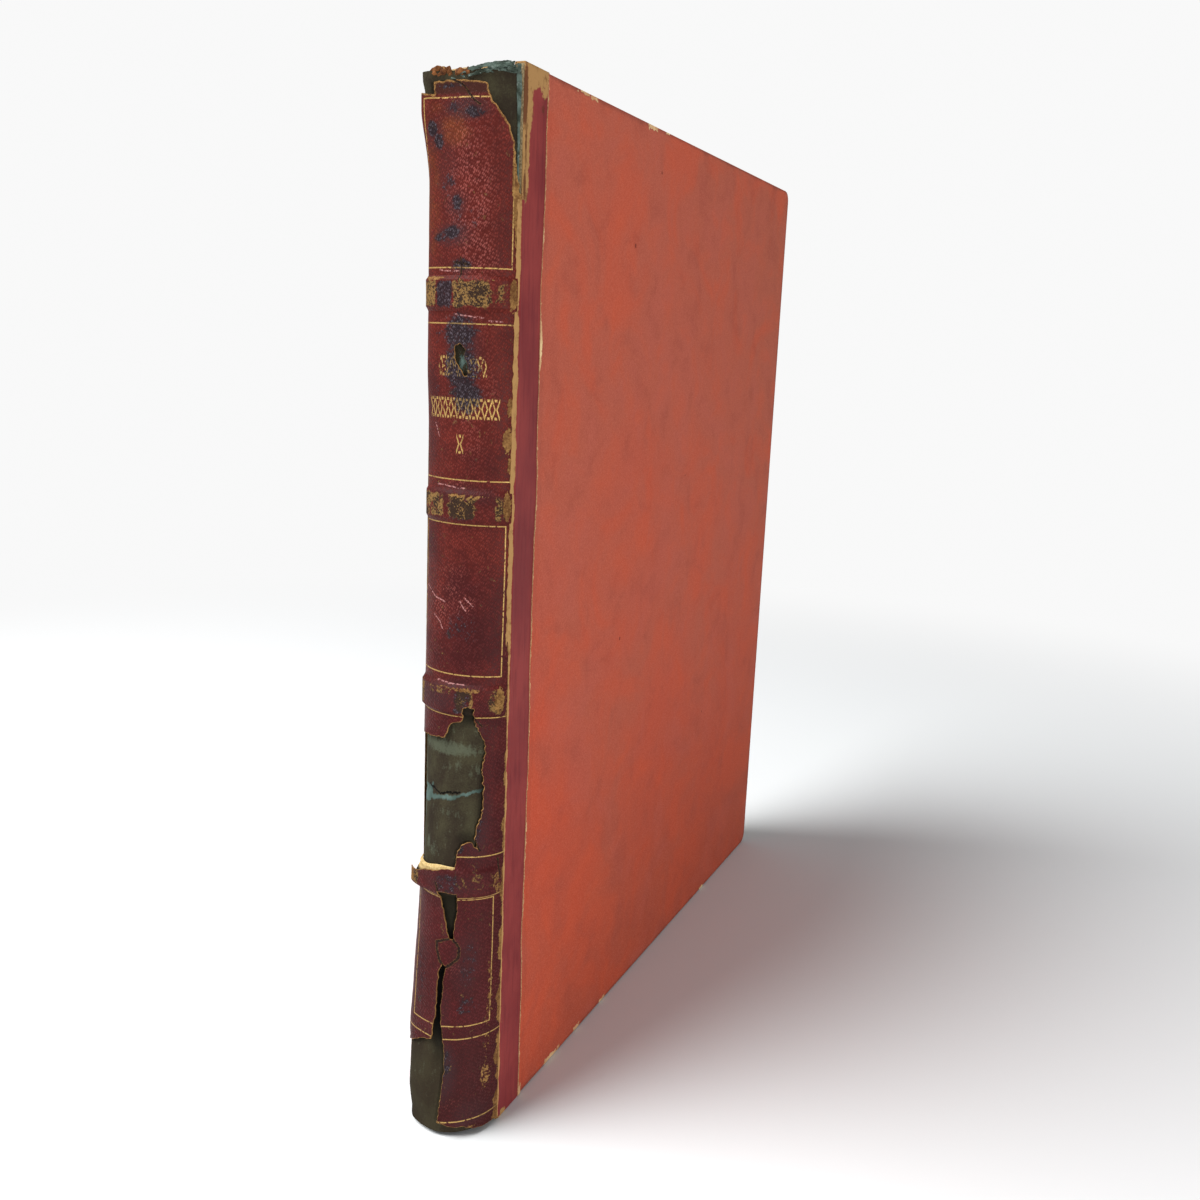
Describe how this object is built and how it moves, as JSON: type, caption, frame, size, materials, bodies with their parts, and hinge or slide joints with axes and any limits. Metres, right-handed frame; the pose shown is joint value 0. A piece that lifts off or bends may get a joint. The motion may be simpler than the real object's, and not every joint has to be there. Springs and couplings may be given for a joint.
{
  "type": "antique leather book",
  "caption": "Tall antique folio book with a torn, worn leather back and paper-covered boards that open on their joints.",
  "frame": {"origin": "middle of the footprint, on the surface that the book stands on", "axes": "+Z from tail to head, +X out of the front cover, +Y from the back of the book to its fore-edge"},
  "size_m": [0.031, 0.2929, 0.34],
  "materials": {
    "pages": "aged page edges, slightly uneven",
    "endpaper": "aged laid paper, matt",
    "cloth": "open-weave cotton, pasted",
    "cord": "twisted hemp",
    "tube_paper": "torn blue-green paper",
    "inlay_card": "dark aged card, matt",
    "band_card": "cream card, torn edge",
    "back_leather": "pebbled maroon leather with dark stains, tan abrasion and gilt rules",
    "headcap_leather": "ragged bare leather",
    "millboard": "grey-brown rope-fibre board",
    "strip_leather": "smooth maroon leather, tan where rubbed",
    "side_paper": "brick-red grained paper, mottled and scuffed at the edges",
    "infill_paper": "waste paper, matt"
  },
  "bodies": {
    "book_block": {"text_block": "pages", "front_flyleaf": "endpaper", "back_flyleaf": "endpaper", "spine_cloth": "cloth", "sewing_cord_1": "cord", "sewing_cord_2": "cord", "sewing_cord_3": "cord", "sewing_cord_4": "cord", "sewing_cord_5": "cord", "head_band": "cord", "tail_band": "cord", "hollow_tube": "tube_paper", "spine_inlay": "inlay_card", "raised_band_1": "band_card", "raised_band_2": "band_card", "raised_band_3": "band_card", "raised_band_4": "band_card", "spine_leather": "back_leather", "headcap_remnant": "headcap_leather"},
    "front_cover": {"front_board": "millboard", "front_leather": "strip_leather", "front_side_paper": "side_paper", "front_infill": "infill_paper", "front_pastedown": "endpaper", "front_cord_slips": "cord"},
    "back_cover": {"back_board": "millboard", "back_leather": "strip_leather", "back_side_paper": "side_paper", "back_infill": "infill_paper", "back_pastedown": "endpaper", "back_cord_slips": "cord"}
  },
  "joints": [
    {"name": "front_cover_hinge", "type": "hinge", "parent": "book_block", "child": "front_cover", "pos_m": [0.01555, -0.12825, 0.17], "axis": [0, 0, -1], "range_deg": [0, 180]},
    {"name": "back_cover_hinge", "type": "hinge", "parent": "book_block", "child": "back_cover", "pos_m": [-0.01555, -0.12825, 0.17], "axis": [0, 0, 1], "range_deg": [0, 180]}
  ]
}
